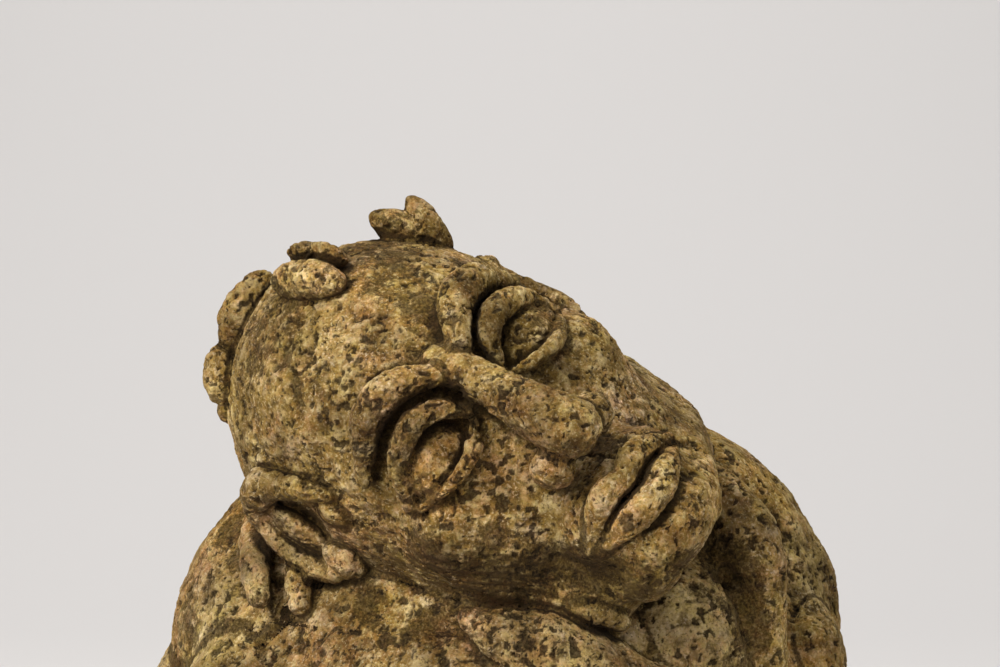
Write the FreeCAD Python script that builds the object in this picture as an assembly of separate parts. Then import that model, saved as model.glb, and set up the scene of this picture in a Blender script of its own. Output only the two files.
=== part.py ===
import FreeCAD, Part
import os, math

# Hollow, hand-modelled figural pot, millimetres, +Z up, origin at the middle
# of the foot on the floor. The figure faces -Y; "left" and "right" are the
# figure's own. Every piece is a slab, ring, coil or lump of the body as it was
# built up, and each ends on the face of the piece it is luted to.

# ---------------------------------------------------------------- dimensions
POT_PROFILE = [(122, 0), (143, 30), (163, 70), (175, 110), (178.5, 140),
               (175, 165), (168, 187), (160, 203), (149, 225), (134, 248),
               (116, 267), (95, 281), (70, 292), (40, 300), (0, 304)]
WALL = 15.0                 # thickness of the pot wall
FLOOR_T = 16.0              # thickness of the base slab
JOIN_1 = 90.0               # heights at which the wall rings meet
JOIN_2 = 165.0
JOIN_3 = 225.0
NECK_Y = 64.0               # middle of the pot's mouth, behind the head
NECK_IN = 33.0              # inside radius of the neck
NECK_OUT = 45.0             # outside radius of the neck
NECK_TOP = 318.0            # top of the neck ring
LIP_R = 8.0                 # radius of the rolled lip
HEAD_AT = (-18.0, -82.0, 302.0)
HEAD_ROLL = 53.13           # degrees the crown falls to the figure's right
HEAD_YAW = 21.0             # degrees the face turns to the figure's left
HEAD_PITCH = 8.0            # degrees the face looks up
HEAD_WALL = 13.0            # thickness of the head shell
OUT = "parts"

os.makedirs("parts", exist_ok=True)
V = FreeCAD.Vector


# -------------------------------------------------------------- small maths
def vadd(a, b, s=1.0):
    return (a[0] + b[0] * s, a[1] + b[1] * s, a[2] + b[2] * s)


def dot(a, b):
    return a[0] * b[0] + a[1] * b[1] + a[2] * b[2]


def cross(a, b):
    return (a[1] * b[2] - a[2] * b[1], a[2] * b[0] - a[0] * b[2],
            a[0] * b[1] - a[1] * b[0])


def unit(a):
    n = math.sqrt(dot(a, a))
    return (a[0] / n, a[1] / n, a[2] / n)


def head_axes():
    r, t, p = (math.radians(a) for a in (HEAD_ROLL, HEAD_YAW, HEAD_PITCH))
    up = (-math.sin(r), 0.0, math.cos(r))
    side = (math.cos(r), 0.0, math.sin(r))
    face = (side[0] * math.sin(t), -math.cos(t), side[2] * math.sin(t))
    left = (side[0] * math.cos(t), math.sin(t), side[2] * math.cos(t))
    up2 = vadd((up[0] * math.cos(p), up[1] * math.cos(p), up[2] * math.cos(p)), face, -math.sin(p))
    face2 = vadd((face[0] * math.cos(p), face[1] * math.cos(p), face[2] * math.cos(p)), up, math.sin(p))
    back = (-face2[0], -face2[1], -face2[2])
    return left, back, up2


HL, HB, HU = head_axes()


def h2w(q):
    """head coordinates (x to its left ear, y to its back, z to its crown)"""
    p = vadd(HEAD_AT, HL, q[0])
    p = vadd(p, HB, q[1])
    return vadd(p, HU, q[2])


def hdir(d):
    p = vadd((0, 0, 0), HL, d[0])
    p = vadd(p, HB, d[1])
    return vadd(p, HU, d[2])


# --------------------------------------------------------- smooth head form
def smin(a, b, k):
    h = max(k - abs(a - b), 0.0) / k
    return min(a, b) - h * h * k * 0.25


def ell(q, c, r):
    x, y, z = q[0] - c[0], q[1] - c[1], q[2] - c[2]
    k0 = math.sqrt((x / r[0]) ** 2 + (y / r[1]) ** 2 + (z / r[2]) ** 2)
    k1 = math.sqrt((x / r[0] ** 2) ** 2 + (y / r[1] ** 2) ** 2 + (z / r[2] ** 2) ** 2) + 1e-6
    return k0 * (k0 - 1) / k1


def cone(q, pts, rad):
    best = 1e9
    for i in range(len(pts) - 1):
        a, b = pts[i], pts[i + 1]
        ba, pa = vadd(b, a, -1), vadd(q, a, -1)
        h = min(max(dot(pa, ba) / dot(ba, ba), 0.0), 1.0)
        d = vadd(pa, ba, -h)
        best = min(best, math.sqrt(dot(d, d)) - (rad[i] + (rad[i + 1] - rad[i]) * h))
    return best


def head_form(q):
    h = smin(ell(q, (0, 8, 28), (77, 90, 87)), ell(q, (0, -14, -34), (70, 66, 80)), 25)
    for s in (-1, 1):
        h = smin(h, ell(q, (44 * s, -52, -24), (22, 18, 18)), 16)
        h = smin(h, cone(q, [(68 * s, 5, -45), (60 * s, -8, -76), (20 * s, -64, -101)], [14, 15, 13]), 20)
    h = smin(h, ell(q, (0, -74, -101), (26, 20, 15)), 12)
    h = smin(h, ell(q, (0, -74, -76), (33, 20, 22)), 10)
    h = -smin(-h, ell(q, (0, -99, -91), (18, 7, 5)), 6)
    for s in (-1, 1):
        h = -smin(-h, ell(q, (32 * s, -96, -1), (25, 15, 16)), 9)
    return h


def head_void(q):
    return smin(ell(q, (0, 10, 28), (77 - HEAD_WALL, 90 - HEAD_WALL, 87 - HEAD_WALL)),
                ell(q, (0, -8, -30), (68 - HEAD_WALL, 65 - HEAD_WALL, 75 - HEAD_WALL)), 20)


def reach(fn, c, d, far=170.0):
    """distance along a direction to where the form ends"""
    lo, hi = 0.0, far
    for _ in range(34):
        m = 0.5 * (lo + hi)
        if fn(vadd(c, d, m)) < 0:
            lo = m
        else:
            hi = m
    return lo


def lofted(fn, c, rows, n):
    """closed surface through rings at equal angles from the crown to the throat"""
    secs = [Part.Vertex(V(*h2w(vadd(c, (0, 0, 1), reach(fn, c, (0, 0, 1))))))]
    for i in range(rows):
        p = math.pi * (i + 0.6) / (rows + 0.2)
        pts = []
        for j in range(n):
            a = 2 * math.pi * (j + 0.5) / n
            d = (math.sin(p) * math.cos(a), math.sin(p) * math.sin(a), math.cos(p))
            pts.append(V(*h2w(vadd(c, d, reach(fn, c, d)))))
        b = Part.BSplineCurve()
        b.interpolate(pts, PeriodicFlag=True)
        secs.append(Part.Wire([b.toShape()]))
    secs.append(Part.Vertex(V(*h2w(vadd(c, (0, 0, -1), reach(fn, c, (0, 0, -1)))))))
    return solid_of(Part.makeLoft(secs, True, False))


# ------------------------------------------------------------- solid makers
def solid_of(shape):
    """the largest valid solid of a shape"""
    ss = shape.Solids
    if not ss:
        ss = [Part.Solid(Part.Shell(shape.Faces))]
    best = max(ss, key=lambda x: abs(x.Volume))
    if best.Volume < 0:
        best.reverse()
    return best


def ellipsoid(c, r, ax=((1, 0, 0), (0, 1, 0), (0, 0, 1))):
    s = Part.makeSphere(1.0, V(0, 0, 0), V(0, 0, 1), -90, 90, 180).fuse(
        Part.makeSphere(1.0, V(0, 0, 0), V(0, 0, 1), -90, 90, 180).rotated(V(0, 0, 0), V(0, 0, 1), 180))
    m = FreeCAD.Matrix(ax[0][0] * r[0], ax[1][0] * r[1], ax[2][0] * r[2], c[0],
                       ax[0][1] * r[0], ax[1][1] * r[1], ax[2][1] * r[2], c[1],
                       ax[0][2] * r[0], ax[1][2] * r[1], ax[2][2] * r[2], c[2],
                       0, 0, 0, 1)
    return solid_of(s.transformGeometry(m))


def head_ellipsoid(c, r):
    return ellipsoid(h2w(c), r, (HL, HB, HU))


def catmull(pts, rad, n):
    e = [vadd(vadd(pts[0], pts[0]), pts[1], -1)] + list(pts) + [vadd(vadd(pts[-1], pts[-1]), pts[-2], -1)]
    r = [rad[0]] + list(rad) + [rad[-1]]
    out = []
    for i in range(len(pts) - 1):
        for j in range(n):
            t = j / float(n)
            w = (0.5 * (-t + 2 * t * t - t ** 3), 0.5 * (2 - 5 * t * t + 3 * t ** 3),
                 0.5 * (t + 4 * t * t - 3 * t ** 3), 0.5 * (-t * t + t ** 3))
            p = (0.0, 0.0, 0.0)
            q = 0.0
            for k in range(4):
                p = vadd(p, e[i + k], w[k])
                q += r[i + k] * w[k]
            out.append((p, q))
    out.append((pts[-1], rad[-1]))
    return out


def coil(pts, rad, n=3, head=False):
    """rolled coil of clay: round sections along a smooth path, rounded ends"""
    if head:
        pts = [h2w(p) for p in pts]
    path = catmull(pts, rad, n)
    m = len(path)
    tang = []
    for i in range(m):
        a, b = path[max(i - 1, 0)][0], path[min(i + 1, m - 1)][0]
        tang.append(unit(vadd(b, a, -1)))
    x = cross(tang[0], (0.31, 0.87, 0.38))
    x = unit(x)
    secs = []

    def ring(p, t, x, r):
        y = cross(t, x)
        q = []
        for i in range(9):
            a = math.pi * i / 4
            q.append(V(*vadd(vadd(p, x, r * math.cos(a)), y, r * math.sin(a))))
        return Part.Wire([Part.Arc(q[0], q[1], q[2]).toShape(), Part.Arc(q[2], q[3], q[4]).toShape(),
                          Part.Arc(q[4], q[5], q[6]).toShape(), Part.Arc(q[6], q[7], q[0]).toShape()])

    p0, r0 = path[0]
    secs.append(ring(vadd(p0, tang[0], -0.9 * r0), tang[0], x, 0.42 * r0))
    secs.append(ring(vadd(p0, tang[0], -0.55 * r0), tang[0], x, 0.82 * r0))
    for i in range(m):
        t = tang[i]
        x = unit(vadd(x, t, -dot(x, t)))
        secs.append(ring(path[i][0], t, x, path[i][1]))
    p1, r1 = path[-1]
    secs.append(ring(vadd(p1, tang[-1], 0.55 * r1), tang[-1], x, 0.82 * r1))
    secs.append(ring(vadd(p1, tang[-1], 0.9 * r1), tang[-1], x, 0.42 * r1))
    return solid_of(Part.makeLoft(secs, True, False))


def turned(profile, z0, z1):
    """solid of revolution of a smooth (radius, height) profile between two levels"""
    pts = [V(r, 0, z) for r, z in profile]
    b = Part.BSplineCurve()
    b.interpolate(pts)
    e = b.toShape()
    lo, hi = pts[0], pts[-1]
    edges = [e]
    if hi.x > 1e-9:
        edges.append(Part.makeLine(hi, V(0, 0, hi.z)))
    edges.append(Part.makeLine(V(0, 0, hi.z), V(0, 0, lo.z)))
    edges.append(Part.makeLine(V(0, 0, lo.z), lo))
    f = Part.Face(Part.Wire(edges))
    s = solid_of(f.revolve(V(0, 0, 0), V(0, 0, 1), 360))
    if z0 is not None:
        s = s.common(Part.makeCylinder(400, z1 - z0, V(0, 0, z0)))
        s = solid_of(s)
    return s


def minus(shape, *tools):
    for t in tools:
        if shape.BoundBox.intersect(t.BoundBox):
            shape = shape.cut(t)
    vs = sorted((abs(x.Volume) for x in shape.Solids), reverse=True)
    if len(vs) > 1 and vs[1] > 0.02 * vs[0]:
        print("left out", [round(v) for v in vs])
    return solid_of(shape)


PIECES = []


def keep(name, shape):
    shape = solid_of(shape)
    PIECES.append((name, shape))
    return shape


# ------------------------------------------------------------------ the pot
pot = turned(POT_PROFILE, None, None)
inner_profile = [(r - WALL, z) for r, z in POT_PROFILE if FLOOR_T < z < 262]
inner_profile = [(108.0, FLOOR_T)] + inner_profile[0:] + [(84, 266), (58, 277), (30, 285.5), (0, 289)]
hollow = turned(inner_profile, None, None)

head_out = lofted(head_form, (0.0, -8.0, -4.0), 16, 32)
head_in = lofted(head_void, (0.0, 0.0, 0.0), 10, 16)

mouth_hole = Part.makeCylinder(NECK_IN, 120, V(0, NECK_Y, 240))
shell = minus(pot, hollow)


def slab(a, b):
    return Part.makeCylinder(400, b - a, V(0, 0, a))


keep("base_slab", pot.common(slab(0, FLOOR_T)))
keep("lower_wall", shell.common(slab(FLOOR_T, JOIN_1)))
keep("belly_wall", shell.common(slab(JOIN_1, JOIN_2)))
keep("upper_wall", minus(shell.common(slab(JOIN_2, JOIN_3)), head_in))
keep("shoulder_dome", minus(shell.common(slab(JOIN_3, 400)), head_in, mouth_hole))

neck = Part.makeCylinder(NECK_OUT, NECK_TOP - 262, V(0, NECK_Y, 262)).cut(mouth_hole)
neck = keep("mouth_neck", minus(neck, pot, head_out))
lip = Part.makeTorus((NECK_IN + NECK_OUT) / 2 + 1, LIP_R, V(0, NECK_Y, NECK_TOP + LIP_R - 2.5), V(0, 0, 1))
keep("mouth_lip", minus(lip.cut(Part.makeCylinder(90, 40, V(0, NECK_Y, NECK_TOP - 40))), head_out))

# ----------------------------------------------------------------- the head
keep("head_shell", minus(head_out, head_in, pot))

for s, side in ((-1, "right"), (1, "left")):
    eye = head_ellipsoid((32 * s, -68, -2), (20, 17, 17))
    keep(side + "_eye_mound", minus(eye, head_out))
    up = coil([(12 * s, -86, -3), (20 * s, -90, 8), (33 * s, -88, 13), (47 * s, -78, 8), (55 * s, -66, -5)],
              [3.2, 5, 5.6, 5, 3.4], 3, True)
    up = keep(side + "_upper_lid", minus(up, head_out, eye))
    lo = coil([(13 * s, -85, -7), (25 * s, -88, -14), (40 * s, -81, -15), (53 * s, -68, -9)],
              [2.2, 3.2, 3.2, 2.4], 3, True)
    keep(side + "_lower_lid", minus(lo, head_out, eye, up))
    br = coil([(9 * s, -91, 17), (22 * s, -89, 28), (40 * s, -80, 30), (56 * s, -64, 18)], [5, 8, 8, 4], 3, True)
    keep(side + "_brow", minus(br, head_out, up))
    up_by, back_by = (0, 0) if s < 0 else (-20, 12)      # the right ear is pushed up and forward by the shoulder it lies on
    rim = [(65, -41, 30), (68.5, -35, 43), (72.5, -22, 57), (77, -11, 60), (82, -3, 51), (86, -1, 37.5), (87, -5, 22),
           (84, -8, 11)]
    ear = coil([(x * s, y + back_by, z + up_by) for x, y, z in rim], [4, 5, 5.2, 5, 4.8, 4.8, 4.8, 5], 3, True)
    for c, r in (((74, -17, 58), (9, 11, 8)), ((77, -12, 10), (8, 9, 11)), ((76, -4, 36), (6, 12, 23)), ((67, -33, 24), (6, 7, 9))):
        ear = ear.fuse(head_ellipsoid((c[0] * s, c[1] + back_by, c[2] + up_by), r))
    keep(side + "_ear", minus(ear, head_out, pot))

nose_raw = coil([(0, -84, 20), (0, -95, -6), (0, -105, -36), (0, -106, -44)], [8.5, 9, 12.5, 13], 2, True)
nose = keep("nose", minus(nose_raw, head_out, *[p for n, p in PIECES if n.endswith("_brow") or n.endswith("_lid")]))
for s, side in ((-1, "right"), (1, "left")):
    keep(side + "_nostril", minus(head_ellipsoid((14 * s, -97, -47), (10, 11, 10)), head_out, nose_raw))
ul_raw = coil([(-30, -82, -79), (-13, -94, -71), (0, -97, -73.5), (13, -94, -71), (30, -82, -79)], [3, 6.6, 5.6, 6.6, 3], 2, True)
ul = keep("upper_lip", minus(ul_raw, head_out))
ll = coil([(-28, -82, -82), (-12, -94, -86), (0, -96, -87.5), (12, -94, -86), (28, -82, -82)], [3, 6.8, 7.4, 6.8, 3], 2, True)
keep("lower_lip", minus(ll, head_out, ul_raw))

# hair: pressed pellets, each lobe = centre, long direction, outward direction, half sizes (head coordinates)
KNOTS = [
    ("hair_knot_a", [((-35.6, 3.4, 108.5), (-0.6874, 0.3555, -0.6333), (-0.6665, 0.0378, 0.7446), (15, 8, 9))]),
    ("hair_knot_b", [((-10.5, -7.4, 116), (-0.9129, 0.3762, -0.1587), (-0.2217, -0.1303, 0.9664), (17.5, 8.5, 10)), ((-5, -10.9, 118), (-0.9332, 0.3508, 0.0777), (-0.0009, -0.2184, 0.9759), (18, 6, 9))]),
    ("hair_knot_c", [((5.3, -57.6, 91.6), (0.1574, -0.702, -0.6946), (0.0749, -0.6928, 0.7172), (22, 9.5, 10)), ((17.8, -55.1, 96.2), (0.1574, -0.702, -0.6946), (0.0749, -0.6928, 0.7172), (19, 4.2, 8.5))]),
    ("hair_knot_d", [((59.9, -31, 76.2), (0.1838, 0.0666, -0.9807), (0.9137, -0.3796, 0.1455), (18, 9, 8.5)), ((67.4, -33.4, 67.4), (-0.2614, 0.233, -0.9367), (0.8935, -0.3088, -0.3261), (17, 8, 7))]),
    ("hair_knot_back_1", [((61.7, 25.1, 80.5), (0.5601, -0.0332, -0.8278), (0.8238, 0.1282, 0.5522), (17, 9, 9)), ((62.6, 14.2, 81.5), (0.5601, -0.0332, -0.8278), (0.8238, 0.1282, 0.5522), (15, 6.5, 7.5))]),
    ("hair_knot_back_2", [((34.3, 45.1, 99.3), (0.6309, -0.7759, 0), (0.4474, 0.3638, 0.817), (17, 9, 9)), ((27.3, 39.4, 105.6), (0.6309, -0.7759, 0), (0.4474, 0.3638, 0.817), (15, 6.5, 7.5))]),
    ("hair_knot_back_3", [((-1.6, 77, 86.4), (0.0391, 0.6705, -0.7409), (0.0353, 0.7401, 0.6716), (17, 9, 9)), ((9.4, 76.4, 86.4), (0.0391, 0.6705, -0.7409), (0.0353, 0.7401, 0.6716), (15, 6.5, 7.5))]),
    ("hair_knot_back_4", [((-31.3, 44.3, 101.4), (0.6575, 0.7535, -0), (-0.4067, 0.3549, 0.8418), (17, 9, 9)), ((-24.3, 38.2, 107.3), (0.6575, 0.7535, -0), (-0.4067, 0.3549, 0.8418), (15, 6.5, 7.5))]),
    ("hair_knot_back_5", [((67.3, 54.8, 36.2), (0.4562, -0.8899, 0), (0.8828, 0.4526, 0.126), (17, 9, 9)), ((66, 54.1, 47.1), (0.4562, -0.8899, 0), (0.8828, 0.4526, 0.126), (15, 6.5, 7.5))]),
]
for name, lobes in KNOTS:
    k = None
    for c, d, n, r in lobes:
        w = cross(n, d)
        e = ellipsoid(h2w(c), r, (hdir(d), hdir(w), hdir(n)))
        k = e if k is None else k.fuse(e)
    keep(name, minus(k, head_out, pot))

# ---------------------------------------------------- shoulders, arms, hands
body = {}


def lump(name, shape, *hosts):
    body[name] = shape
    cutters = [pot, head_out] + [body[h] for h in hosts]
    return keep(name, minus(shape, *cutters))


lump("right_shoulder", ellipsoid((-62, -30, 205), (94, 90, 92)))
lump("right_upper_arm", coil([(-104, -84, 204), (-116, -98, 176), (-116, -104, 142)], [28, 31, 29], 4), "right_shoulder")
lump("right_forearm", coil([(-116, -108, 138), (-96, -138, 128), (-62, -162, 140)], [28, 25, 20], 4), "right_upper_arm",
     "right_shoulder")
lump("right_hand", coil([(-64, -160, 140), (-46, -168, 150), (-30, -174, 164)], [19, 18, 12], 4), "right_forearm")
lump("plait_outer", coil([(-111, -69, 277), (-111, -88, 263), (-109.5, -103, 250), (-107.5, -112, 237)], [4.5, 7, 8.5, 7], 3),
     "right_shoulder", "right_upper_arm")
lump("plait_inner", coil([(-92, -105, 254), (-90, -112, 244), (-89, -117, 234)], [5, 7, 5.5], 3),
     "right_shoulder", "right_upper_arm")
lump("left_shoulder", ellipsoid((60, -10, 213), (100, 95, 99)))
lump("left_shoulder_roll", coil([(88, -80, 290), (101, -94, 276), (113, -102, 254), (115.5, -105, 228), (117, -106, 196)],
                                [8, 14, 16, 14, 13], 3), "left_shoulder")
lump("left_elbow", ellipsoid((143, -58, 196), (19, 28, 33)), "left_shoulder", "left_shoulder_roll")
lump("left_upper_arm", ellipsoid((78, -108, 206), (36, 32, 50)), "left_shoulder", "left_shoulder_roll")
lump("left_hand", coil([(84, -140, 172), (58, -150, 190), (26, -154, 215), (4, -155, 226), (-14, -156, 233.5)],
                       [28, 26, 20, 12, 5], 3), "left_upper_arm", "left_shoulder_roll", "left_shoulder", "right_shoulder")
lump("left_thumb", coil([(33, -157, 239), (44, -159, 237), (55, -155, 233)], [5, 7, 6], 2), "left_hand", "left_upper_arm",
     "left_shoulder")

# the neck's hole and the outer pieces never overlap; ears and pellets lie outside the arms
done = dict(PIECES)
for name in ("right_ear", "left_ear"):
    s = done[name]
    for other in ("right_shoulder", "plait_outer", "plait_inner", "left_shoulder", "left_shoulder_roll"):
        if s.BoundBox.intersect(done[other].BoundBox):
            s = solid_of(s.cut(done[other]))
    done[name] = s
PIECES = [(n, done[n]) for n, _ in PIECES]

for name, shape in PIECES:
    if not shape.isValid():
        shape.fix(0.01, 0.01, 0.01)
    b = shape.BoundBox
    print("%-20s valid=%s vol=%9.0f  x %.1f..%.1f y %.1f..%.1f z %.1f..%.1f" % (
        name, shape.isValid(), shape.Volume, b.XMin, b.XMax, b.YMin, b.YMax, b.ZMin, b.ZMax))
    shape.exportStep("parts/" + name + ".step")
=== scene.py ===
import bpy
import math
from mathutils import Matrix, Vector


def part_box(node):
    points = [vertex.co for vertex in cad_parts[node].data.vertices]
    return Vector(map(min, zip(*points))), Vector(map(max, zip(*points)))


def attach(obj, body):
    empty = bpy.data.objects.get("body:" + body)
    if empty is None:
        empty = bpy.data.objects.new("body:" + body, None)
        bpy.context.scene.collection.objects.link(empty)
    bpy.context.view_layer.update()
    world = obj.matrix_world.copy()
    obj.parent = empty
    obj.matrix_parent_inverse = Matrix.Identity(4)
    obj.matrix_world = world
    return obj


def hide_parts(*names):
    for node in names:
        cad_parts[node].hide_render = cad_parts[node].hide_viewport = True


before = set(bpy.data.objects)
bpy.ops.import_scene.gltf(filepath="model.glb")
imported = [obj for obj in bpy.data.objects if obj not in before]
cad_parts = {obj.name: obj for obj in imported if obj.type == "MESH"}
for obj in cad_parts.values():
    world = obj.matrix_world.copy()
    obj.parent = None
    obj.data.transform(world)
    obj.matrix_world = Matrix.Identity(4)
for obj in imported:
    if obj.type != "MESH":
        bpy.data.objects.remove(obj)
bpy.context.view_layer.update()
from concurrent.futures import ThreadPoolExecutor
import numpy as np
from mathutils import Vector

F = np.float32

# ======================================================================
# Figural stone pot. Everything below is in millimetres in the row frame
# until the meshes are made, which are in metres. The whole surface is one
# smooth distance field; each named piece is the share of it that its lump,
# coil or ring of the body takes up, so neighbours meet without a step.
# ======================================================================
HEAD_AT = np.array([-18.0, -82.0, 302.0])


def head_axes(roll=53.13, yaw=21.0, pitch=8.0):
    r, t, p = np.radians([roll, yaw, pitch])
    up = np.array([-np.sin(r), 0, np.cos(r)])
    side = np.array([np.cos(r), 0, np.sin(r)])
    face0 = np.array([0, -1.0, 0])
    face = face0 * np.cos(t) + side * np.sin(t)
    left = side * np.cos(t) - face0 * np.sin(t)
    up2 = up * np.cos(p) - face * np.sin(p)
    face2 = face * np.cos(p) + up * np.sin(p)
    return np.stack([left, -face2, up2])


HR = head_axes()


def h2w(p):
    return HEAD_AT + np.asarray(p, float) @ HR


# ------------------------------------------------------------ distance fields
def smin(a, b, k):
    if k <= 0:
        return np.minimum(a, b)
    h = np.maximum(F(k) - np.abs(a - b), F(0)) / F(k)
    return np.minimum(a, b) - h * h * F(k * 0.25)


def smax(a, b, k):
    return -smin(-a, -b, k)


def ell(P, c, r, R=None):
    q = P - np.asarray(c, F)
    if R is not None:
        q = q @ np.asarray(R, F).T
    q = q / np.asarray(r, F)
    k0 = np.sqrt(np.einsum("ij,ij->i", q, q))
    q = q / np.asarray(r, F)
    k1 = np.sqrt(np.einsum("ij,ij->i", q, q)) + F(1e-6)
    return k0 * (k0 - 1) / k1


def tube(P, pts, rad, k=0.0):
    pts = np.asarray(pts, F)
    rad = np.asarray(rad, F)
    out = None
    for i in range(len(pts) - 1):
        a, ba, pa = pts[i], pts[i + 1] - pts[i], P - pts[i]
        h = np.clip(pa @ ba / F(max(float(ba @ ba), 1e-9)), 0, 1)
        q = pa - h[:, None] * ba
        d = np.sqrt(np.einsum("ij,ij->i", q, q)) - (rad[i] + (rad[i + 1] - rad[i]) * h)
        out = d if out is None else (smin(out, d, k) if k > 0 else np.minimum(out, d))
    return out


def curve(pts, rad, n=6):
    p = np.asarray(pts, float)
    r = np.asarray(rad, float)
    e = np.vstack([2 * p[0] - p[1], p, 2 * p[-1] - p[-2]])
    w = np.concatenate([[r[0]], r, [r[-1]]])
    out, ro = [], []
    for i in range(len(p) - 1):
        for j in range(n):
            t = j / n
            b = 0.5 * np.array([-t + 2 * t * t - t ** 3, 2 - 5 * t * t + 3 * t ** 3,
                                t + 4 * t * t - 3 * t ** 3, -t * t + t ** 3])
            out.append(b @ e[i:i + 4])
            ro.append(b @ w[i:i + 4])
    out.append(p[-1])
    ro.append(r[-1])
    return np.array(out), np.maximum(np.array(ro), 0.3)


def profile_field(r, z, poly):
    d = np.full(len(r), 1e9, F)
    inside = np.zeros(len(r), bool)
    n = len(poly)
    for i in range(n):
        ax, az = poly[i]
        bx, bz = poly[(i + 1) % n]
        ex, ez = bx - ax, bz - az
        wx, wz = r - F(ax), z - F(az)
        h = np.clip((wx * F(ex) + wz * F(ez)) / F(ex * ex + ez * ez + 1e-12), 0, 1)
        dx, dz = wx - h * F(ex), wz - h * F(ez)
        d = np.minimum(d, dx * dx + dz * dz)
        if ez != 0:
            inside ^= ((az > z) != (bz > z)) & (r < F(ex) * (z - F(az)) / F(ez) + F(ax))
    d = np.sqrt(d)
    return np.where(inside, -d, d).astype(F)


# ------------------------------------------------------------------ the pot
PROF = [(122, 0), (143, 30), (163, 70), (175, 110), (178.5, 140), (175, 165), (168, 187),
        (160, 203), (149, 225), (134, 248), (116, 267), (95, 281), (70, 292), (40, 300), (0, 304)]
_c, _ = curve([(a, b, 0) for a, b in PROF], [1] * len(PROF), 4)
OUTER = [(0, 0)] + [(float(a), float(b)) for a, b, _z in _c]
INNER = [(0, 16), (107, 16)] + [(float(a) - 15, float(b)) for a, b, _z in _c if 20 < b < 262]
INNER += [(84, 266), (58, 277), (30, 285.5), (0, 289)]
NECK_Y, NECK_IN, NECK_OUT, NECK_TOP = 64.0, 33.0, 45.0, 318.0


def pot_outer(P):
    # the wall was raised by hand, so it is a little out of round
    r = np.hypot(P[:, 0], P[:, 1])
    a = np.arctan2(P[:, 1], P[:, 0])
    wob = 0.9 * np.sin(2 * a + 0.6) + 0.6 * np.sin(3 * a + P[:, 2] * F(0.017)) + 0.5 * np.sin(5 * a - P[:, 2] * F(0.03))
    wob = wob * np.clip(r / 100, 0, 1) * np.clip((P[:, 2] - 4) / 20, 0, 1)
    return profile_field(r, P[:, 2], OUTER) + wob.astype(F)


def pot_inner(P):
    return profile_field(np.hypot(P[:, 0], P[:, 1]), P[:, 2], INNER)


def neck(P):
    r = np.hypot(P[:, 0], P[:, 1] - F(NECK_Y))
    a = smax(r - F(NECK_OUT), P[:, 2] - F(NECK_TOP), 3)
    return smax(a, F(266) - P[:, 2], 2)


def lip(P):
    r = np.hypot(P[:, 0], P[:, 1] - F(NECK_Y)) - F((NECK_IN + NECK_OUT) / 2 + 0.6)
    return np.hypot(r, P[:, 2] - F(NECK_TOP + 4.5)) - F(7.6)


def bore(P):
    r = np.hypot(P[:, 0], P[:, 1] - F(NECK_Y)) - F(NECK_IN)
    return np.maximum(r, F(240) - P[:, 2])


# ----------------------------------------------------------------- the head
def head_outer(Q):
    h = smin(ell(Q, (0, 8, 28), (77, 90, 87)), ell(Q, (0, -14, -34), (70, 66, 80)), 25)
    for s in (-1, 1):
        h = smin(h, ell(Q, (44 * s, -52, -24), (22, 18, 18)), 16)
        h = smin(h, tube(Q, [(68 * s, 5, -45), (60 * s, -8, -76), (20 * s, -64, -101)], [14, 15, 13]), 20)
    h = smin(h, ell(Q, (0, -74, -101), (26, 20, 15)), 12)
    h = smin(h, ell(Q, (0, -74, -76), (33, 20, 22)), 10)
    h = smax(h, -ell(Q, (0, -99, -91), (18, 7, 5)), 6)
    for s in (-1, 1):
        h = smax(h, -ell(Q, (32 * s, -96, -1), (25, 15, 16)), 9)
    for s, u, b in ((-1, 0, 0), (1, -20, 12)):                  # the hollow of each ear
        h = smax(h, -ell(Q, (76 * s, -19 + b, 34 + u), (7, 9, 14)), 3)
    return h


def head_inner(Q):
    return smin(ell(Q, (0, 10, 28), (64, 77, 74)), ell(Q, (0, -8, -30), (55, 52, 62)), 20)


# ------------------------------------------------- the pieces, host to guest
# name, sphere that holds it, field, blend with what is under it, grid step
PIECES = []


def add(name, centre, radius, fn, k, h, head=False):
    c = h2w(centre) if head else np.asarray(centre, float)
    PIECES.append({"name": name, "c": c, "r": float(radius), "fn": fn, "k": k, "h": h, "head": head})


def add_tube(name, pts, rad, k, h, head=False, join=0.0, n=6):
    c, r = curve(pts, rad, n)
    mid = (c.min(0) + c.max(0)) / 2
    far = float((np.linalg.norm(c - mid, axis=1) + r).max())
    add(name, mid, far, (lambda P, c=c, r=r, j=join: tube(P, c, r, j)), k, h, head)


def add_ell(name, c, r, k, h, head=False):
    add(name, c, max(r), (lambda P, c=c, r=r: ell(P, c, r)), k, h, head)


add_ell("right_shoulder", (-62, -30, 205), (94, 90, 92), 4, 0.9)
add_tube("right_upper_arm", [(-104, -84, 204), (-116, -98, 176), (-116, -104, 142)], [28, 31, 29], 10, 1.0)
add_tube("right_forearm", [(-116, -108, 138), (-96, -138, 128), (-62, -162, 140)], [28, 25, 20], 6, 1.3)
add_tube("right_hand", [(-64, -160, 140), (-46, -168, 150), (-30, -174, 164)], [19, 18, 12], 4, 1.2)
add_tube("plait_outer", [(-111, -69, 277), (-111, -88, 263), (-109.5, -103, 250), (-107.5, -112, 237)], [4.5, 7, 8.5, 7], 3, 0.7)
add_tube("plait_inner", [(-92, -105, 254), (-90, -112, 244), (-89, -117, 234)], [5, 7, 5.5], 3, 0.7)
add_ell("left_shoulder", (60, -10, 213), (100, 95, 99), 10, 0.9)
add_tube("left_shoulder_roll", [(88, -80, 290), (101, -94, 276), (113, -102, 254), (115.5, -105, 228), (117, -106, 196)],
         [8, 14, 16, 14, 13], 3, 0.8)
add_ell("left_elbow", (143, -58, 196), (19, 28, 33), 5, 0.85)
add_ell("left_upper_arm", (78, -108, 206), (36, 32, 50), 4, 0.8)
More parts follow.
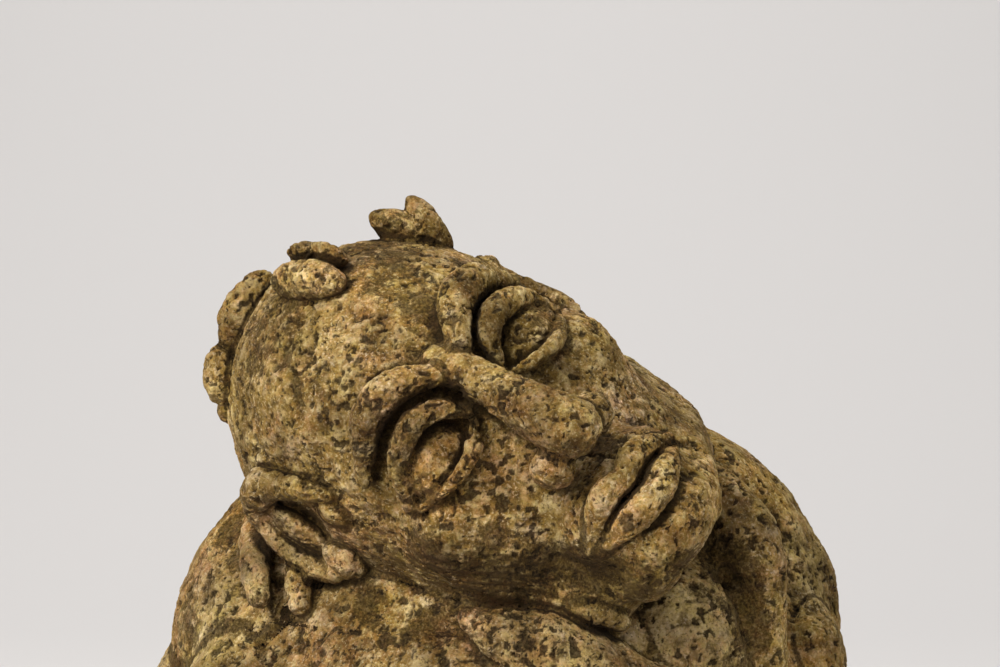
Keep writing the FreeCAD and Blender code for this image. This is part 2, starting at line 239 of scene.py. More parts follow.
add_tube("left_hand", [(84, -140, 172), (58, -150, 190), (26, -154, 215), (4, -155, 226), (-14, -156, 233.5)],
         [28, 26, 20, 12, 5], 2.0, 0.8)
add_tube("left_thumb", [(33, -157, 239), (44, -159, 237), (55, -155, 233)], [5, 7, 6], 2, 0.7)
add("mouth_neck", (0, NECK_Y, 292), 56, neck, 8, 1.3)
add("mouth_lip", (0, NECK_Y, NECK_TOP + 4.5), 54, lip, 2, 1.2)
add("head_shell", (0, -5, 0), 132, head_outer, 1.6, 0.75, True)
for s, side in ((-1, "right"), (1, "left")):
    add_ell(side + "_eye_mound", (32 * s, -68, -2), (20, 17, 17), 1.5, 0.55, True)
    add_tube(side + "_upper_lid", [(12 * s, -86, -3), (20 * s, -90, 8), (33 * s, -88, 13), (47 * s, -78, 8), (55 * s, -66, -5)],
             [3.2, 5, 5.6, 5, 3.4], 1.5, 0.55, True)
    add_tube(side + "_lower_lid", [(13 * s, -85, -7), (25 * s, -88, -14), (40 * s, -81, -15), (53 * s, -68, -9)],
             [2.2, 3.2, 3.2, 2.4], 1.5, 0.5, True)
    add_tube(side + "_brow", [(9 * s, -91, 17), (22 * s, -89, 28), (40 * s, -80, 30), (56 * s, -64, 18)], [5, 8, 8, 4], 4, 0.65, True)
    up_by, back_by = (0, 0) if s < 0 else (-20, 12)     # the right ear is pushed up and forward by the shoulder
    ec, er = curve([(x * s, y + back_by, z + up_by) for x, y, z in [(65, -41, 30), (68.5, -35, 43), (72.5, -22, 57), (77, -11, 60),
                                                                  (82, -3, 51), (86, -1, 37.5), (87, -5, 22), (84, -8, 11)]],
                   [3.5, 5.5, 6.8, 6.4, 5, 4.8, 4.8, 5], 5)

    def ear(Q, s=s, u=up_by, b=back_by, ec=ec, er=er):
        e = tube(Q, ec, er, 1)
        e = smin(e, ell(Q, (74 * s, -17 + b, 58 + u), (9, 11, 8)), 3)
        e = smin(e, ell(Q, (77 * s, -12 + b, 10 + u), (8, 9, 11)), 2)
        e = smin(e, ell(Q, (76 * s, -4 + b, 36 + u), (6, 12, 23)), 2)
        return smin(e, ell(Q, (67 * s, -33 + b, 24 + u), (6, 7, 9)), 2)
    add(side + "_ear", (77 * s, -20 + back_by, 35 + up_by), 52, ear, 1.0, 0.65, True)


def nose(Q):
    c, r = curve([(0, -84, 20), (0, -95, -6), (0, -105, -36), (0, -106, -44)], [8.5, 9, 12.5, 13], 4)
    n = tube(Q, c, r, 2)
    for s in (-1, 1):
        n = smax(n, -ell(Q, (8 * s, -103, -58), (4.2, 6.5, 5)), 2)
    return n


add("nose", (0, -96, -14), 52, nose, 4, 0.6, True)
for s, side in ((-1, "right"), (1, "left")):
    def wing(Q, s=s):
        n = ell(Q, (14 * s, -97, -47), (10, 11, 10))
        return smax(n, -ell(Q, (8 * s, -103, -58), (4.2, 6.5, 5)), 2)
    add(side + "_nostril", (14 * s, -97, -47), 12, wing, 2.5, 0.5, True)
add_tube("upper_lip", [(-30, -82, -79), (-13, -94, -71), (0, -97, -73.5), (13, -94, -71), (30, -82, -79)],
         [3, 6.6, 5.6, 6.6, 3], 2.0, 0.5, True)
add_tube("lower_lip", [(-28, -82, -82), (-12, -94, -86), (0, -96, -87.5), (12, -94, -86), (28, -82, -82)],
         [3, 6.8, 7.4, 6.8, 3], 1.2, 0.5, True)

# pellets of hair: each lobe = centre, long way, outward way, half sizes (head coordinates)
KNOTS = [
    ("hair_knot_a", [((-35.6, 3.4, 108.5), (-0.6874, 0.3555, -0.6333), (-0.6665, 0.0378, 0.7446), (15, 8, 9))]),
    ("hair_knot_b", [((-10.5, -7.4, 116), (-0.9129, 0.3762, -0.1587), (-0.2217, -0.1303, 0.9664), (17.5, 8.5, 10)), ((-5, -10.9, 118), (-0.9332, 0.3508, 0.0777), (-0.0009, -0.2184, 0.9759), (18, 6, 9))]),
    ("hair_knot_c", [((5.3, -57.6, 91.6), (0.1574, -0.702, -0.6946), (0.0749, -0.6928, 0.7172), (22, 9.5, 10)), ((17.8, -55.1, 96.2), (0.1574, -0.702, -0.6946), (0.0749, -0.6928, 0.7172), (19, 4.2, 8.5))]),
    ("hair_knot_d", [((59.9, -31, 76.2), (0.1838, 0.0666, -0.9807), (0.9137, -0.3796, 0.1455), (18, 9, 8.5)), ((67.4, -33.4, 67.4), (-0.2614, 0.233, -0.9367), (0.8935, -0.3088, -0.3261), (17, 8, 7))]),
    ("hair_knot_back_1", [((61.7, 25.1, 80.5), (0.5601, -0.0332, -0.8278), (0.8238, 0.1282, 0.5522), (17, 9, 9)), ((62.6, 14.2, 81.5), (0.5601, -0.0332, -0.8278), (0.8238, 0.1282, 0.5522), (15, 6.5, 7.5))]),
    ("hair_knot_back_2", [((34.3, 45.1, 99.3), (0.6309, -0.7759, 0), (0.4474, 0.3638, 0.817), (17, 9, 9)), ((27.3, 39.4, 105.6), (0.6309, -0.7759, 0), (0.4474, 0.3638, 0.817), (15, 6.5, 7.5))]),
    ("hair_knot_back_3", [((-1.6, 77, 86.4), (0.0391, 0.6705, -0.7409), (0.0353, 0.7401, 0.6716), (17, 9, 9)), ((9.4, 76.4, 86.4), (0.0391, 0.6705, -0.7409), (0.0353, 0.7401, 0.6716), (15, 6.5, 7.5))]),
    ("hair_knot_back_4", [((-31.3, 44.3, 101.4), (0.6575, 0.7535, -0), (-0.4067, 0.3549, 0.8418), (17, 9, 9)), ((-24.3, 38.2, 107.3), (0.6575, 0.7535, -0), (-0.4067, 0.3549, 0.8418), (15, 6.5, 7.5))]),
    ("hair_knot_back_5", [((67.3, 54.8, 36.2), (0.4562, -0.8899, 0), (0.8828, 0.4526, 0.126), (17, 9, 9)), ((66, 54.1, 47.1), (0.4562, -0.8899, 0), (0.8828, 0.4526, 0.126), (15, 6.5, 7.5))]),
]
for kname, lobes in KNOTS:
    mats = []
    for c, d, n, r in lobes:
        d, n = np.array(d), np.array(n)
        mats.append((c, r, np.stack([d, np.cross(n, d), n])))

    def pellet(Q, mats=mats):
        out = None
        for c, r, R in mats:
            e = ell(Q, c, r, R)
            out = e if out is None else smin(out, e, 1.0)
        return out
    mid = np.mean([m[0] for m in mats], axis=0)
    add(kname, mid, 27, pellet, 1.2, 0.65, True)

INDEX = {p["name"]: i for i, p in enumerate(PIECES)}


def loc(P):
    return (P - HEAD_AT.astype(F)) @ HR.T.astype(F)


def near(c, r, lo, hi, pad):
    q = np.clip(c, lo, hi)
    return np.linalg.norm(q - c) < r + pad


def fields(P, use):
    """base field, then each wanted piece's own field (50 where it is far)"""
    base = pot_outer(P)
    Q = None
    out = {}
    for i in use:
        p = PIECES[i]
        d = P - p["c"].astype(F)
        m = np.einsum("ij,ij->i", d, d) < F((p["r"] + 14) ** 2)
        v = np.full(len(P), 50, F)
        if m.any():
            if m.mean() > 0.6:
                src = loc(P) if p["head"] else P
                v = p["fn"](src).astype(F)
            else:
                src = loc(P[m]) if p["head"] else P[m]
                v[m] = p["fn"](src)
        out[i] = v
    return base, out


# folds, valleys and pressed hollows of the body: line, half width, depth (below zero it is a ridge), all mm
FOLDS = [
    ([(-126, -62, 268), (-126, -72, 257), (-123, -83, 250), (-120, -95, 236), (-112, -107, 226)], 6.5, 7.0),
    ([(-99, -97, 256), (-99.5, -104, 244), (-98, -110, 233)], 4.5, 4.5),
    ([(-158, -20, 240)], 20, 1.0),
    ([(138, -14, 279)], 30, -2.2),
    ([(163, -22, 236), (165, -24, 218)], 18, -5.0),
    ([(56, -160, 240), (61, -152, 229), (64, -146, 214)], 6, 5.0),
    ([(100, -113, 247), (105, -116, 240), (112, -120, 226), (115, -120, 210)], 5, 5.5),
    ([(89, -103, 257), (94, -104, 251)], 8, -7.5),
    ([(116, -56, 281), (129, -52, 270), (136, -54, 259), (138, -61, 246), (138, -67, 234)], 7, 5.0),
    ([(134, -76, 227), (144, -71, 226), (151, -66, 225), (156, -60, 224)], 3.5, 5.0),
    ([(135, -74, 226)], 5, 6.0),
    ([(104, -48, 293), (122, -52, 278)], 6, 2.0),
    ([(-60, -132, 237), (-44, -139, 232), (-28, -148, 226)], 6, 2.5),
    ([(-100, -118, 216), (-84, -126, 208), (-60, -134, 204)], 7, 1.8),
]


def folds(P):
    out = np.zeros(len(P), F)
    for pts, w, amt in FOLDS:
        if len(pts) == 1:
            pts = [pts[0], (pts[0][0], pts[0][1], pts[0][2] + 0.01)]
        c = np.mean(pts, axis=0)
        r = float(np.linalg.norm(np.array(pts) - c, axis=1).max()) + 2.6 * w
        d = P - c.astype(F)
        m = np.einsum("ij,ij->i", d, d) < F(r * r)
        if m.any():
            t = tube(P[m], pts, [0] * len(pts))
            out[m] += F(amt) * np.exp(-t * t / F(w * w))
    return out


def skin(P, base, vals):
    g = base
    for i in sorted(vals):
        g = smin(g, vals[i], PIECES[i]["k"])
    return g + folds(P)


def seam(base, vals):
    """1 where two neighbours meet in a crease, falling to 0 a few mm away"""
    a = base.copy()
    b = np.full(len(base), 50, F)
    for i in sorted(vals):
        v = vals[i]
        b = np.minimum(b, np.maximum(a, v))
        a = np.minimum(a, v)
    return np.clip(1 - (b - a) / F(5.0), 0, 1)


def void(P):
    v = np.minimum(pot_inner(P), bore(P))
    return np.minimum(v, head_inner(loc(P)))


def cell(base, vals, me):
    """below zero where the piece owns the body; me is None for the pot's own wall"""
    mine = base if me is None else vals[me]
    rank = -1 if me is None else me
    c = np.full(len(base), -50, F)
    others = [(-1, base)] if me is not None else []
    others += [(i, v) for i, v in vals.items() if i != me]
    for i, v in others:
        diff = (mine - v) * F(0.5)
        if i < rank:
            c = np.maximum(c, np.maximum(diff, -v))
        else:
            c = np.maximum(c, np.minimum(diff, mine))
    return c


LAP = 0.9


def piece_field(me, use, band=None):
    def fn(P):
        base, vals = fields(P, use)
        g = skin(P, base, vals)
        c = cell(base, vals, me)
        if band is not None:
            c = np.maximum(c, np.maximum(F(band[0]) - P[:, 2], P[:, 2] - F(band[1])))
        f = g + np.clip(c, 0, 2) * F(0.22)
        f = np.maximum(f, c - F(LAP))
        return np.maximum(f, -void(P)).astype(F)
    return fn


# ------------------------------------------------------------------- meshing
CO = np.array([[i, j, k] for i in (0, 1) for j in (0, 1) for k in (0, 1)])
ED = [(a, b) for a in range(8) for b in range(a + 1, 8) if np.abs(CO[a] - CO[b]).sum() == 1]


def surface_nets(f, lo, h):
    s = f < 0
    anyc = np.zeros(tuple(n - 1 for n in s.shape), bool)
    allc = np.ones_like(anyc)
    for o in CO:
        c = s[o[0]:s.shape[0] - 1 + o[0], o[1]:s.shape[1] - 1 + o[1], o[2]:s.shape[2] - 1 + o[2]]
        anyc |= c
        allc &= c
    act = anyc & ~allc
    cells = np.argwhere(act)
    idx = np.full(act.shape, -1, np.int32)
    idx[act] = np.arange(len(cells))
    v = np.stack([f[cells[:, 0] + o[0], cells[:, 1] + o[1], cells[:, 2] + o[2]] for o in CO], 1)
    pos = np.zeros((len(cells), 3))
    cnt = np.zeros(len(cells))
    for p, q in ED:
        m = (v[:, p] < 0) != (v[:, q] < 0)
        t = v[m, p] / (v[m, p] - v[m, q])
        pos[m] += CO[p] + t[:, None] * (CO[q] - CO[p])
        cnt[m] += 1
    verts = np.asarray(lo) + h * (cells + pos / cnt[:, None])
    quads = []
    for ax in range(3):
        sl0 = [slice(1, -1)] * 3
        sl1 = [slice(1, -1)] * 3
        sl0[ax] = slice(0, -1)
        sl1[ax] = slice(1, None)
        w = np.argwhere(s[tuple(sl0)] != s[tuple(sl1)])
        w = w + np.array([0 if a == ax else 1 for a in range(3)])
        u, t = [a for a in range(3) if a != ax]
        du, dt = np.zeros(3, int), np.zeros(3, int)
        du[u], dt[t] = 1, 1
        q = np.stack([idx[tuple((w - du - dt).T)], idx[tuple((w - dt).T)], idx[tuple(w.T)], idx[tuple((w - du).T)]], 1)
        inside = s[tuple(w.T)]
        flip = ~inside if ax != 1 else inside
        q[flip] = q[flip][:, ::-1]
        quads.append(q)
    quads = np.concatenate(quads)
    return verts, quads[(quads >= 0).all(1)]


def grid_mesh(fn, lo, hi, h, sub=4, chunk=300000):
    lo = np.asarray(lo, float)
    n = np.ceil((np.asarray(hi, float) - lo) / (h * sub)).astype(int) + 1
    big = h * sub
    g = np.stack(np.meshgrid(*[np.arange(m + 1) for m in n], indexing="ij"), -1).reshape(-1, 3)
    P = (lo + g * big).astype(F)
    cf = np.concatenate([fn(P[i:i + chunk]) for i in range(0, len(P), chunk)]).reshape(tuple(n + 1))
    close = np.abs(cf) < big * 1.25
    on = np.zeros(tuple(n), bool)
    s = cf < 0
    for o in CO:
        sl = tuple(slice(o[a], n[a] + o[a]) for a in range(3))
        on |= close[sl] | (s[sl] != s[:-1, :-1, :-1])
    N = n * sub + 1
    f = np.where(s, F(-9), F(9))
    for ax in range(3):
        f = np.repeat(f, sub, ax)
    f = f[:N[0], :N[1], :N[2]].copy()
    cm = on
    for ax in range(3):
        cm = np.repeat(cm, sub, ax)
    m = np.zeros(tuple(N), bool)
    for o in CO:
        m[tuple(slice(o[a], N[a] - 1 + o[a]) for a in range(3))] |= cm
    w = np.argwhere(m)
    vals = np.empty(len(w), F)
    for i in range(0, len(w), chunk):
        vals[i:i + chunk] = fn((lo + w[i:i + chunk] * h).astype(F))
    f[m] = vals
    f[0] = f[-1] = 9
    f[:, 0] = f[:, -1] = 9
    f[:, :, 0] = f[:, :, -1] = 9
    return surface_nets(f, lo, h)


# --------------------------------------------------------------------- noise
def _hash(i, j, k, seed):
    with np.errstate(over="ignore"):
        h = (i.astype(np.uint32) * np.uint32(374761393) + j.astype(np.uint32) * np.uint32(668265263)
             + k.astype(np.uint32) * np.uint32(2147483647) + np.uint32(seed * 2246822519 % 2 ** 32))
        h = (h ^ (h >> np.uint32(13))) * np.uint32(1274126177)
        h = (h ^ (h >> np.uint32(16))) * np.uint32(2654435761)
        return h ^ (h >> np.uint32(15))


def vnoise(P, scale, seed=0):
    q = P / F(scale)
    i = np.floor(q).astype(np.int64)
    t = (q - i).astype(F)
    t = t * t * t * (t * (t * 6 - 15) + 10)
    out = np.zeros(len(P), F)
    for a in (0, 1):
        wa = t[:, 0] if a else 1 - t[:, 0]
        for b in (0, 1):
            wb = wa * (t[:, 1] if b else 1 - t[:, 1])
            for c in (0, 1):
                wc = wb * (t[:, 2] if c else 1 - t[:, 2])
                out += wc * (_hash(i[:, 0] + a, i[:, 1] + b, i[:, 2] + c, seed).astype(F) / F(2 ** 31) - 1)
    return out


def fbm(P, scale, octaves=3, seed=0, gain=0.5):
    o = np.zeros(len(P), F)
    amp, tot = 1.0, 0.0
    for n in range(octaves):
        o += F(amp) * vnoise(P + F(n * 17.3), scale / 2 ** n, seed + n * 7)
        tot += amp
        amp *= gain
    return o / F(tot)


def worley(P, scale, seed=0):
    q = P / F(scale)
    i = np.floor(q).astype(np.int64)
    fr = (q - i).astype(F)
    d1 = np.full(len(P), 9, F)
    r1 = np.zeros(len(P), F)
    for a in (-1, 0, 1):
        for b in (-1, 0, 1):
            for c in (-1, 0, 1):
                at = (i[:, 0] + a, i[:, 1] + b, i[:, 2] + c)
                h = _hash(*at, seed)
                g = _hash(*at, seed + 101)
                x = (h & np.uint32(1023)).astype(F) / F(1023)
                y = ((h >> np.uint32(10)) & np.uint32(1023)).astype(F) / F(1023)
                z = ((h >> np.uint32(20)) & np.uint32(1023)).astype(F) / F(1023)
                d = (a + x - fr[:, 0]) ** 2 + (b + y - fr[:, 1]) ** 2 + (c + z - fr[:, 2]) ** 2
                m = d < d1
                d1 = np.where(m, d, d1)
                r1 = np.where(m, (g & np.uint32(65535)).astype(F) / F(65535), r1)
    return np.sqrt(d1), r1


def smooth(x, a, b):
    t = np.clip((x - a) / (b - a), 0, 1)
    return t * t * (3 - 2 * t)


def relief(P):
    """outward movement in mm at each point of the skin, and how deep in a pit it lies"""
    w1 = np.stack([vnoise(P, 7.0, 11), vnoise(P, 7.0, 12), vnoise(P, 7.0, 13)], 1) * F(1.7)
    w2 = np.stack([vnoise(P, 2.8, 14), vnoise(P, 2.8, 15), vnoise(P, 2.8, 16)], 1) * F(0.8)
    Pw = P + w1 + w2
    broad = fbm(P, 34.0, 2, 21) * F(1.3)                       # pushed and patted by hand
    mid = fbm(P, 11.0, 2, 31) * F(1.0)
    grit = fbm(Pw, 3.4, 2, 41)
    patch = smooth(fbm(P, 24.0, 3, 51), -0.25, 0.30)           # where pits crowd
    s1 = F(0.40) - patch * F(0.17)
    pit1 = smooth(fbm(Pw, 3.9, 3, 61), s1, s1 + F(0.15))
    s2 = F(0.42) - patch * F(0.16)
    pit2 = smooth(fbm(P + w2, 2.5, 2, 71), s2, s2 + F(0.18))
    pit3 = smooth(fbm(Pw, 9.0, 4, 81), 0.40, 0.52)
    # the last wet smoothing under the jaw left fine lines
    t = np.array([0.93, -0.30, -0.20])
    t /= np.linalg.norm(t)
    a = np.cross(t, [0, 0, 1.0])
    a /= np.linalg.norm(a)
    c = np.cross(t, a)
    S = np.stack([P @ (t / 22).astype(F), P @ (a / 2.1).astype(F), P @ (c / 2.1).astype(F)], 1)
    d = P - np.array([-8, -150, 258], F)
    zone = np.exp(-np.einsum("ij,ij->i", d, d) / F(2 * 34.0 ** 2))
    lines = vnoise(S + w1 * F(0.12), 1.0, 95) * zone
    out = broad + mid + grit * F(0.70) * (1 - F(0.6) * zone) + lines * F(0.55)
    out = out - pit1 * F(1.15) * (1 - F(0.5) * zone) - pit2 * F(0.65) - pit3 * F(1.4)
    pit = np.clip(pit1 * 0.95 + pit2 * 0.7 + pit3 * 0.6 + np.clip(-lines, 0, 1) * F(0.6), 0, 1)
    return out.astype(F), pit.astype(F), (mid * 0.35 + grit * 0.8 + lines * 0.5).astype(F)


def vert_normals(v, q):
    a, b, c, d = (v[q[:, i]] for i in range(4))
    n = np.cross(c - a, d - b)
    out = np.zeros_like(v)
    for i in range(4):
        for k in range(3):
            out[:, k] += np.bincount(q[:, i], n[:, k], len(v))
    return out / (np.linalg.norm(out, axis=1)[:, None] + 1e-12)


# colour patches: centre in world mm, radius, strength
PINK = [((-66, -126, 255), 14, 1.0), ((0, -166, 230), 22, 0.8), ((-74, -134, 214), 24, 0.75), ((-140, -62, 246), 18, 0.9),
        ((-118, -80, 256), 14, 0.4), ((-12, -160, 234), 14, 1.0), ((45, -165, 206), 26, 0.5), ((-104, -108, 244), 14, 0.35),
        ((60, 90, 270), 40, 0.5), ((-150, 60, 180), 45, 0.5), ((90, -120, 120), 40, 0.5), ((-60, -150, 100), 50, 0.5)]
GOLD = [((-128, -55, 272), 16, 0.9), ((87, -134, 228), 22, 0.7), ((-45, -120, 372), 24, 0.5), ((-110, -70, 352), 22, 0.7), ((95, -30, 300), 30, 0.7), ((130, -20, 270), 26, 0.5),
        ((-20, 40, 300), 30, 0.4), ((20, -165, 90), 50, 0.4)]
# PALE: pale patches of the stone; the strong spot at (87, -134, 228) on the arm lobe under the chin is painted light
# where the chin shades it
PALE = [((-98, -114, 264), 9, 1.0), ((-92, -112, 255), 8, 0.8), ((70, -150, 262), 18, 0.6), ((87, -134, 228), 24, 1.3), ((-134, -85, 220), 26, 0.7), ((-109, -114, 248), 14, 0.9), ((146, -50, 243), 18, 0.9), ((25, -168, 214), 30, 0.7), ((-75, -125, 255), 12, 0.4), ((-161, -26, 194), 12, 1.0), ((-84, -124, 378), 12, 0.45), ((-118, -80, 361), 12, 0.35), ((-44, -82, 400), 12, 0.35),
        ((-80, -120, 345), 20, 0.4), ((-40, 120, 200), 40, 0.4)]
# DARK: painted shade in the creases beside the plaits and along the shoulder roll, shade and dark stains in the band
# under the jaw, and dark stains in wide soft spots over the crown
DARK = [((-124, -66, 262), 11, 1.1), ((-120, -79, 249), 9, 1.3), ((-118, -91, 237), 8, 1.2), ((-99, -106, 244), 8, 1.2),
        ((-62, -132, 237), 15, 1.0), ((-36, -146, 229), 13, 0.9), ((-14, -150, 240), 10, 0.6), ((60, -155, 234), 10, 1.0),
        ((64, -148, 216), 8, 1.0), ((92, -112, 262), 10, 1.0), ((99, -112, 250), 12, 1.0), ((107, -117, 238), 11, 1.0),
        ((113, -120, 224), 10, 1.0), ((117, -56, 280), 8, 0.8), ((130, -52, 270), 9, 0.9), ((137, -56, 257), 9, 1.0),
        ((138, -63, 243), 8, 1.0), ((137, -72, 228), 8, 1.0), ((152, -64, 226), 6, 1.0), ((160, -56, 228), 9, 0.8),
        ((-26, -160, 262), 14, 1.2), ((-4, -160, 258), 15, 1.4), ((18, -161, 257), 15, 1.4), ((38, -166, 257), 14, 1.3),
        ((58, -174, 256), 13, 1.1), ((78, -179, 259), 12, 0.9), ((-40, -110, 388), 44, 0.78), ((-100, -112, 342), 40, 0.72), ((40, -60, 384), 20, 0.5),
        ((-110, -116, 226), 14, 0.8), ((130, -20, 285), 14, 0.4)]


def blobs(P, table, seed):
    out = np.zeros(len(P), F)
    for c, r, s in table:
        d = P - np.asarray(c, F)
        out = np.maximum(out, F(s) * np.exp(-np.einsum("ij,ij->i", d, d) / F(2 * (r * 0.75) ** 2)))
    return np.clip(out * (1 + 0.7 * fbm(P, 14.0, 3, seed)), 0, 1)


def shape_piece(name, me, use, band, lo, hi, h):
    fn = piece_field(me, use, band)
    v, q = grid_mesh(fn, lo, hi, h)
    n = vert_normals(v, q)
    P = v.astype(F)
    base, vals = fields(P, use)
    outside = smooth(-np.abs(skin(P, base, vals)), -0.9, -0.45)    # 1 on the skin, 0 on hidden faces
    # broad hollows, read from the distance field a little way out along the normal; they steer painted shade in the
    # stone colour
    occ = np.zeros(len(P), F)
    for dist, w in ((3.0, 0.40), (9.0, 0.35), (24.0, 0.25)):
        O = (P + n.astype(F) * F(dist)).astype(F)
        b2, v2 = fields(O, use)
        occ += F(w) * np.clip(1 - skin(O, b2, v2) / F(dist), 0, 1)
    up, pit, small = relief(P)
    hold = smooth(P[:, 2], 1.0, 6.0)                               # the foot stays flat on the floor
    moved = P + (n * (up * outside * hold)[:, None]).astype(F)
    # the crease where neighbours meet steers painted shade in the stone colour
    crease = smooth(seam(base, vals) + F(0.22) * fbm(P, 9.0, 2, 33), 0.25, 0.85)
    wear = np.stack([pit * outside, np.clip(occ, 0, 1), np.clip(small * 0.5 + 0.5, 0, 1), crease * outside], 1)
    tint_and_painted_light = np.stack([blobs(P, PINK, 91), blobs(P, GOLD, 92), blobs(P, PALE, 93), blobs(P, DARK, 94)], 1)
    return name, (moved / 1000).astype(F), q.astype(np.int32), wear.astype(F), tint_and_painted_light.astype(F)


def place_piece(name, co, q, wear, tint_and_painted_light):
    m = bpy.data.meshes.new(name)
    m.vertices.add(len(co))
    m.vertices.foreach_set("co", co.ravel())
    m.loops.add(len(q) * 4)
    m.loops.foreach_set("vertex_index", q.ravel())
    m.polygons.add(len(q))
    m.polygons.foreach_set("loop_start", np.arange(0, len(q) * 4, 4, dtype=np.int32))
    m.polygons.foreach_set("loop_total", np.full(len(q), 4, np.int32))
    m.polygons.foreach_set("use_smooth", np.ones(len(q), bool))
    m.update(calc_edges=True)
    for label, data in (("wear", wear), ("tint_and_painted_light", tint_and_painted_light)):
        m.color_attributes.new(name=label, type="FLOAT_COLOR", domain="POINT").data.foreach_set("color", data.ravel())
    ob = bpy.data.objects.new(name, m)
    bpy.context.scene.collection.objects.link(ob)
    m.materials.append(STONE)
    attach(ob, "root")
    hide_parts(name)
    return len(q)


# ------------------------------------------------------------------ material
def node(nt, kind, at, **kw):
    n = nt.nodes.new(kind)
    n.location = at
    for k, v in kw.items():
        setattr(n, k, v)
    return n


def build_stone():
    m = bpy.data.materials.new("stone")
    m.use_nodes = True
    nt = m.node_tree
    L = nt.links.new
    bsdf = nt.nodes["Principled BSDF"]
    geo = node(nt, "ShaderNodeNewGeometry", (-1800, 0))
    tc = node(nt, "ShaderNodeTexCoord", (-1800, -300))
    pos = tc.outputs["Object"]
    wear = node(nt, "ShaderNodeVertexColor", (-1800, 300), layer_name="wear")
    tint_and_painted_light = node(nt, "ShaderNodeVertexColor", (-1800, 500), layer_name="tint_and_painted_light")
    ws = node(nt, "ShaderNodeSeparateColor", (-1600, 300))
    L(wear.outputs["Color"], ws.inputs[0])
    ts = node(nt, "ShaderNodeSeparateColor", (-1600, 500))
    L(tint_and_painted_light.outputs["Color"], ts.inputs[0])
    pit, occ, small, crease = ws.outputs[0], ws.outputs[1], ws.outputs[2], wear.outputs["Alpha"]
    pink, gold, pale, dark = ts.outputs[0], ts.outputs[1], ts.outputs[2], tint_and_painted_light.outputs["Alpha"]

    def noise(scale, detail, rough, dist=0.0):
        n = node(nt, "ShaderNodeTexNoise", (-1500, -200))
        L(pos, n.inputs["Vector"])
        n.inputs["Scale"].default_value = scale
        n.inputs["Detail"].default_value = detail
        n.inputs["Roughness"].default_value = rough
        n.inputs["Distortion"].default_value = dist
        return n.outputs["Fac"]

    def voro(scale, feature="F1"):
        n = node(nt, "ShaderNodeTexVoronoi", (-1500, -400), feature=feature)
        L(pos, n.inputs["Vector"])
        n.inputs["Scale"].default_value = scale
        return n

    def ramp(src, stops):
        n = node(nt, "ShaderNodeValToRGB", (-1200, 0))
        L(src, n.inputs[0])
        cr = n.color_ramp
        while len(cr.elements) < len(stops):
            cr.elements.new(0.5)
        for e, (p, c) in zip(cr.elements, stops):
            e.position = p
            e.color = (*c, 1)
        return n.outputs["Color"]

    def rng(src, a, b, c=0.0, d=1.0):
        n = node(nt, "ShaderNodeMapRange", (-1200, -200), interpolation_type="SMOOTHSTEP")
        L(src, n.inputs["Value"])
        for k, v in zip(("From Min", "From Max", "To Min", "To Max"), (a, b, c, d)):
            n.inputs[k].default_value = v
        return n.outputs["Result"]

    def mth(op, a, b=None, clamp=False):
        n = node(nt, "ShaderNodeMath", (-900, -200), operation=op, use_clamp=clamp)
        for i, x in enumerate((a, b)):
            if x is None:
                continue
            if isinstance(x, (int, float)):
                n.inputs[i].default_value = x
            else:
                L(x, n.inputs[i])
        return n.outputs[0]

    def mix(fac, a, b, kind="MIX"):
        n = node(nt, "ShaderNodeMix", (-600, 0), data_type="RGBA", blend_type=kind)
        if isinstance(fac, (int, float)):
            n.inputs[0].default_value = fac
        else:
            L(fac, n.inputs[0])
        for i, x in ((6, a), (7, b)):
            if isinstance(x, tuple):
                n.inputs[i].default_value = (*x, 1)
            else:
                L(x, n.inputs[i])
        return n.outputs[2]

    nrm = node(nt, "ShaderNodeSeparateXYZ", (-1600, 0))
    L(geo.outputs["True Normal"], nrm.inputs[0])
    nz = nrm.outputs[2]
    big = noise(24.0, 5, 0.62)
    mid = noise(95.0, 6, 0.66, 0.5)
    small_n = noise(300.0, 5, 0.68, 0.3)
    grain = noise(760.0, 3, 0.62)
    # ochre body clay: olive brown to straw
    c = ramp(small_n, [(0.31, (0.085, 0.048, 0.012)), (0.43, (0.220, 0.132, 0.032)), (0.53, (0.400, 0.262, 0.078)),
                       (0.66, (0.680, 0.515, 0.235))])
    d = ramp(mid, [(0.34, (0.130, 0.074, 0.019)), (0.46, (0.285, 0.176, 0.046)), (0.57, (0.460, 0.312, 0.096)),
                   (0.70, (0.640, 0.490, 0.225))])
    c = mix(0.5, c, d)
    c = mix(rng(big, 0.44, 0.62, 0.0, 0.58), c, (0.210, 0.126, 0.033))
    c = mix(mth("MULTIPLY", pink, 0.55), c, (0.330, 0.150, 0.070))
    c = mix(mth("MULTIPLY", gold, 0.50), c, (0.450, 0.250, 0.060))
    c = mix(mth("MULTIPLY", pale, 0.55), c, (0.760, 0.605, 0.290))
    # proud grains are rubbed pale, gaps between them are dark
    c = mix(rng(small, 0.48, 0.78, 0.0, 0.55), c, (0.720, 0.575, 0.310))
    c = mix(rng(small, 0.47, 0.24, 0.0, 0.66), c, (0.075, 0.044, 0.013))
    c = mix(rng(grain, 0.53, 0.68, 0.0, 0.44), c, (0.860, 0.730, 0.470))
    c = mix(rng(grain, 0.47, 0.34, 0.0, 0.52), c, (0.062, 0.037, 0.011))
    # mottled darker and lighter by the handful of grains
    mott = noise(150.0, 3, 0.6)
    c = mix(rng(mott, 0.52, 0.66, 0.0, 0.38), c, (0.130, 0.082, 0.028))
    c = mix(rng(mott, 0.47, 0.34, 0.0, 0.30), c, (0.640, 0.480, 0.215))
